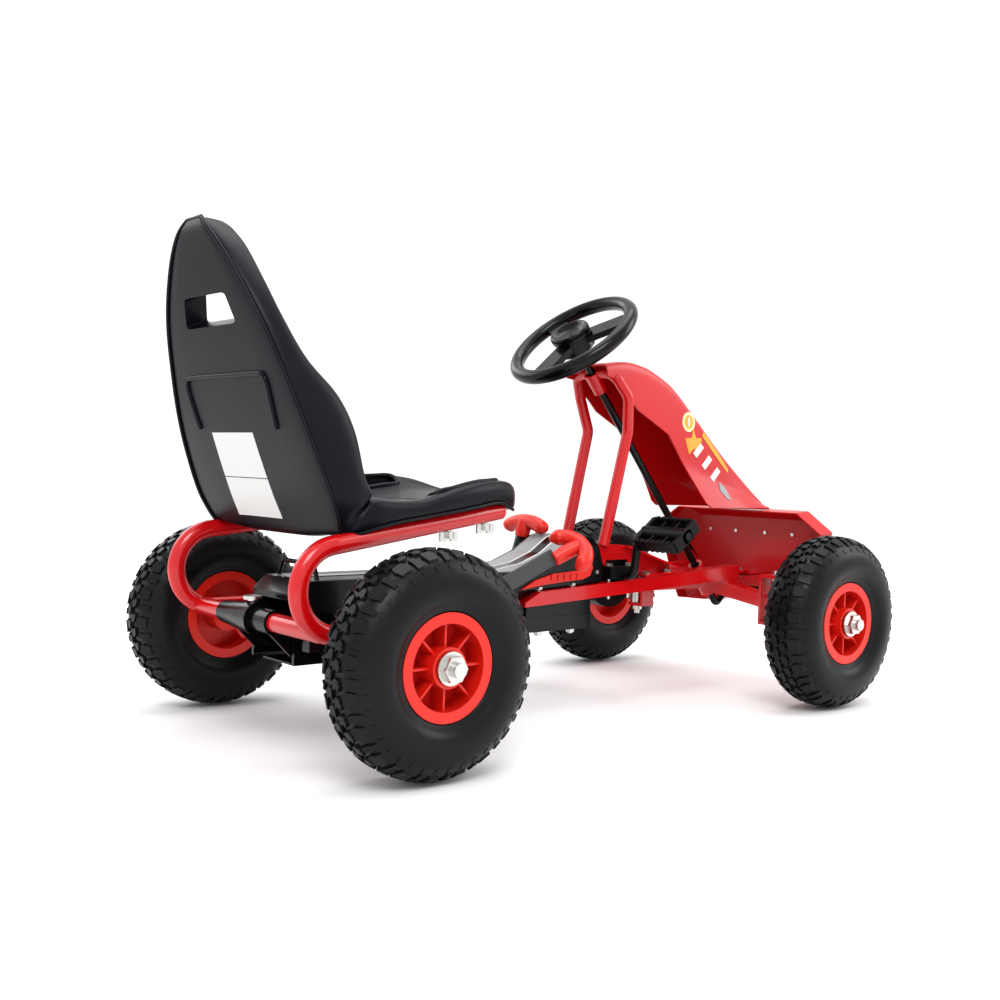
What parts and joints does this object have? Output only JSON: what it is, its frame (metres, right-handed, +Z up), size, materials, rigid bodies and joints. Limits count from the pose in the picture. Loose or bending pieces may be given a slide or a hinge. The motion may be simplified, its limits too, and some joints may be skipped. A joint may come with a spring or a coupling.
{
  "type": "pedal go kart",
  "caption": "Child's pedal go kart with a bucket seat, steered front wheels, chain drive to the rear axle, brake and drive levers and a front fairing",
  "frame": {"origin": "on the ground below the middle of the kart's bounding box", "axes": "+X forward, +Y to the driver's left, +Z up"},
  "size_m": [1.0204, 0.59, 0.6025],
  "materials": {
    "frame_red": "gloss red enamel",
    "carrier_black": "satin black paint",
    "zinc": "zinc plated",
    "lever_grey": "dark grey paint",
    "seat_black": "satin moulded",
    "case_black": "gloss black with grey top",
    "red_plastic": "orange-red moulded",
    "fairing_red": "gloss red",
    "bush_black": "moulded",
    "tyre": "moulded rubber"
  },
  "bodies": {
    "frame": {"front_frame": "frame_red", "steering_hoop": "frame_red", "column_bushes": "bush_black", "seat_rail_left": "frame_red", "seat_rail_right": "frame_red", "rear_cross_tube": "frame_red", "rear_carrier": "carrier_black", "axle_bearings": "bush_black", "seat_shell": "seat_black", "seat_bolts": "zinc", "seat_wing_nuts": "zinc", "chain_case_upper": "case_black", "chain_case_lower": "case_black", "case_handle": "carrier_black", "case_trims": "red_plastic", "panel_screws": "zinc", "sprocket_guard": "case_black", "chain": "zinc", "crank_bearings": "bush_black", "nose_cowl": "fairing_red", "front_shield": "fairing_red", "frame_bolts": "zinc", "kingpin_bolts": "zinc", "lever_pivots": "zinc"},
    "steering": {"steering_column": "carrier_black", "steering_wheel": "case_black", "steering_wheel_cap": "bush_black"},
    "knuckle_l": {"knuckle_left": "zinc", "front_nut_left": "zinc"},
    "knuckle_r": {"knuckle_right": "zinc", "front_nut_right": "zinc"},
    "tie_l": {"tie_rod_left": "carrier_black"},
    "tie_r": {"tie_rod_right": "carrier_black"},
    "front_wheel_l": {"front_tyre_left": "tyre", "front_rim_left": "red_plastic", "front_bearings_left": "bush_black"},
    "front_wheel_r": {"front_tyre_right": "tyre", "front_rim_right": "red_plastic", "front_bearings_right": "bush_black"},
    "drive_axle": {"rear_axle": "zinc", "rear_sprocket": "zinc", "brake_drum": "carrier_black", "rear_tyre_left": "tyre", "rear_rim_left": "red_plastic", "rear_axle_nuts": "zinc"},
    "rear_wheel_r": {"rear_tyre_right": "tyre", "rear_rim_right": "red_plastic", "rear_bearings_right": "bush_black"},
    "cranks": {"crank": "carrier_black", "chainring": "zinc"},
    "pedal_l": {"pedal_left": "case_black"},
    "pedal_r": {"pedal_right": "case_black"},
    "brake_handle": {"brake_lever": "lever_grey", "brake_grip": "red_plastic"},
    "brake_slide": {"brake_rod": "zinc"},
    "gear_handle": {"gear_lever": "lever_grey", "gear_grip": "red_plastic"},
    "clutch_slide": {"clutch_rod": "zinc"},
    "fork": {"clutch_fork": "zinc"},
    "collar": {"clutch_collar": "zinc"}
  },
  "joints": [
    {"name": "steering", "type": "hinge", "parent": "frame", "child": "steering", "pos_m": [0.0798, 0, 0.52], "axis": [-0.6468, 0, 0.7627], "range_deg": [-35, 35]},
    {"name": "steer_left", "type": "hinge", "parent": "frame", "child": "knuckle_l", "pos_m": [0.3852, 0.145, 0.125], "axis": [0, 0, 1], "range_deg": [-25.5, 25.5]},
    {"name": "steer_right", "type": "hinge", "parent": "frame", "child": "knuckle_r", "pos_m": [0.3852, -0.145, 0.125], "axis": [0, 0, 1], "range_deg": [-25.5, 25.5]},
    {"name": "tie_left_pivot", "type": "hinge", "parent": "knuckle_l", "child": "tie_l", "pos_m": [0.4352, 0.145, 0.15829], "axis": [0, 0, 1], "range_deg": [-25.5, 25.5]},
    {"name": "tie_right_pivot", "type": "hinge", "parent": "knuckle_r", "child": "tie_r", "pos_m": [0.4352, -0.145, 0.15356], "axis": [0, 0, 1], "range_deg": [-25.5, 25.5]},
    {"name": "front_left_spin", "type": "hinge", "parent": "knuckle_l", "child": "front_wheel_l", "pos_m": [0.3852, 0.238, 0.125], "axis": [0, 1, 0], "continuous": true},
    {"name": "front_right_spin", "type": "hinge", "parent": "knuckle_r", "child": "front_wheel_r", "pos_m": [0.3852, -0.238, 0.125], "axis": [0, 1, 0], "continuous": true},
    {"name": "crank_turn", "type": "hinge", "parent": "frame", "child": "cranks", "pos_m": [0.1418, 0, 0.1835], "axis": [0, 1, 0], "continuous": true},
    {"name": "axle_turn", "type": "hinge", "parent": "frame", "child": "drive_axle", "pos_m": [-0.3432, 0, 0.125], "axis": [0, 1, 0], "continuous": true},
    {"name": "rear_right_spin", "type": "hinge", "parent": "drive_axle", "child": "rear_wheel_r", "pos_m": [-0.3432, -0.243, 0.125], "axis": [0, 1, 0], "continuous": true},
    {"name": "pedal_left_turn", "type": "hinge", "parent": "cranks", "child": "pedal_l", "pos_m": [0.13289, 0.13, 0.12012], "axis": [0, 1, 0], "continuous": true},
    {"name": "pedal_right_turn", "type": "hinge", "parent": "cranks", "child": "pedal_r", "pos_m": [0.15071, -0.13, 0.24688], "axis": [0, 1, 0], "continuous": true},
    {"name": "brake_pull", "type": "hinge", "parent": "frame", "child": "brake_handle", "pos_m": [-0.1232, -0.07, 0.165], "axis": [0, -1, 0], "range_deg": [0, 20]},
    {"name": "brake_rod_slide", "type": "slide", "parent": "frame", "child": "brake_slide", "axis": [1, 0, 0], "range_m": [0, 0.0072]},
    {"name": "gear_shift", "type": "hinge", "parent": "frame", "child": "gear_handle", "pos_m": [0.0268, 0.06, 0.166], "axis": [0, -1, 0], "range_deg": [0, 25]},
    {"name": "clutch_rod_slide", "type": "slide", "parent": "frame", "child": "clutch_slide", "axis": [1, 0, 0], "range_m": [0, 0.0072]},
    {"name": "fork_turn", "type": "hinge", "parent": "frame", "child": "fork", "pos_m": [-0.3072, 0.063, 0.145], "axis": [0, 0, -1], "range_deg": [0, 17.5]},
    {"name": "collar_slide", "type": "slide", "parent": "drive_axle", "child": "collar", "axis": [0, 1, 0], "range_m": [0, 0.006]}
  ],
  "couplings": [
    {"joint": "steer_left", "follows": "steering", "ratio": 0.708},
    {"joint": "steer_right", "follows": "steering", "ratio": 0.708},
    {"joint": "tie_left_pivot", "follows": "steering", "ratio": -0.708},
    {"joint": "tie_right_pivot", "follows": "steering", "ratio": -0.708},
    {"joint": "axle_turn", "follows": "crank_turn", "ratio": 1.5385},
    {"joint": "brake_rod_slide", "follows": "brake_pull", "m_per_rad": 0.0199},
    {"joint": "clutch_rod_slide", "follows": "gear_shift", "m_per_rad": 0.0158},
    {"joint": "fork_turn", "follows": "gear_shift", "ratio": 0.66},
    {"joint": "collar_slide", "follows": "gear_shift", "m_per_rad": 0.0129}
  ]
}
